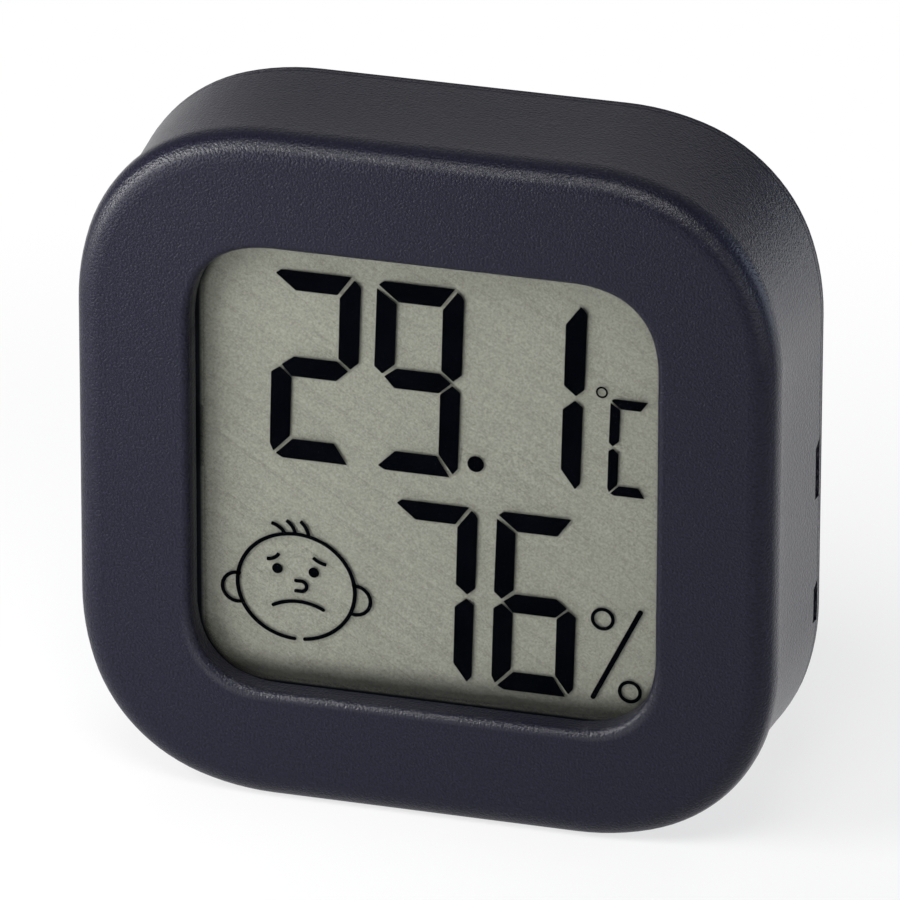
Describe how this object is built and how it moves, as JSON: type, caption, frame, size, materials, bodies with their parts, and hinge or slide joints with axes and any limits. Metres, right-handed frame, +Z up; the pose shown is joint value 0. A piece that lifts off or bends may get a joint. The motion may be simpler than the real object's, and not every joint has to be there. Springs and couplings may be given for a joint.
{
  "type": "hygrometer",
  "caption": "Small square room thermometer and hygrometer with a rounded dark housing, a recessed grey display, a fold-out stand and a battery door that turns with a coin.",
  "frame": {"origin": "middle of the housing's lowest edge, half way between the front face and the back face", "axes": "+X to the right of someone who reads the display, +Y from the front to the back, +Z up"},
  "size_m": [0.043, 0.0116, 0.043],
  "materials": {
    "housing_plastic": "fine spark-eroded satin, near black with a violet cast",
    "rear_plastic": "plain moulded satin, near black",
    "gasket_foam": "black closed-cell foam",
    "polariser_film": "grey-green film with an antiglare surface",
    "display_glass": "clear float glass",
    "reflector_film": "pearly grey-green reflecting film",
    "holder_plastic": "black moulded plastic",
    "elastomer": "pink silicone with black conducting layers",
    "board_laminate": "green solder mask over glass laminate",
    "chip_epoxy": "poured black epoxy",
    "bright_steel": "nickel-plated steel",
    "spring_bronze": "plated phosphor bronze",
    "seal_nylon": "natural nylon",
    "chip_ceramic": "fired ceramic with tinned ends",
    "sensor_body": "white moulded plastic",
    "magnet_plate": "nickel-plated magnet"
  },
  "bodies": {
    "housing": {"front_housing": "housing_plastic", "rear_cover": "rear_plastic", "display_gasket": "gasket_foam", "front_polariser": "polariser_film", "front_glass": "display_glass", "rear_glass": "display_glass", "rear_reflector": "reflector_film", "display_holder": "holder_plastic", "elastomer_connector": "elastomer", "circuit_board": "board_laminate", "chip_cover": "chip_epoxy", "crystal": "bright_steel", "humidity_sensor": "sensor_body", "thermistor": "chip_ceramic", "capacitor": "chip_ceramic", "resistor": "chip_ceramic", "unit_switch": "holder_plastic", "board_screw_1": "bright_steel", "board_screw_2": "bright_steel", "board_screw_3": "bright_steel", "board_screw_4": "bright_steel", "cell_can": "bright_steel", "cell_seal": "seal_nylon", "cell_cap": "bright_steel", "cap_contact": "spring_bronze", "can_contact": "spring_bronze", "magnet_1": "magnet_plate", "magnet_2": "magnet_plate"},
    "stand": {"stand": "rear_plastic"},
    "battery_door": {"battery_door": "rear_plastic"},
    "unit_button": {"unit_button": "rear_plastic", "switch_plunger": "holder_plastic"}
  },
  "joints": [
    {"name": "stand_fold", "type": "hinge", "parent": "housing", "child": "stand", "pos_m": [0, 0.00445, 0.024], "axis": [1, 0, 0], "range_deg": [0, 50]},
    {"name": "battery_door_turn", "type": "hinge", "parent": "housing", "child": "battery_door", "pos_m": [0, 0.00575, 0.0195], "axis": [0, 1, 0], "range_deg": [0, 50]},
    {"name": "unit_button_press", "type": "slide", "parent": "housing", "child": "unit_button", "axis": [0, -1, 0], "range_m": [0, 0.00035], "stiffness_N_per_m": 800}
  ]
}
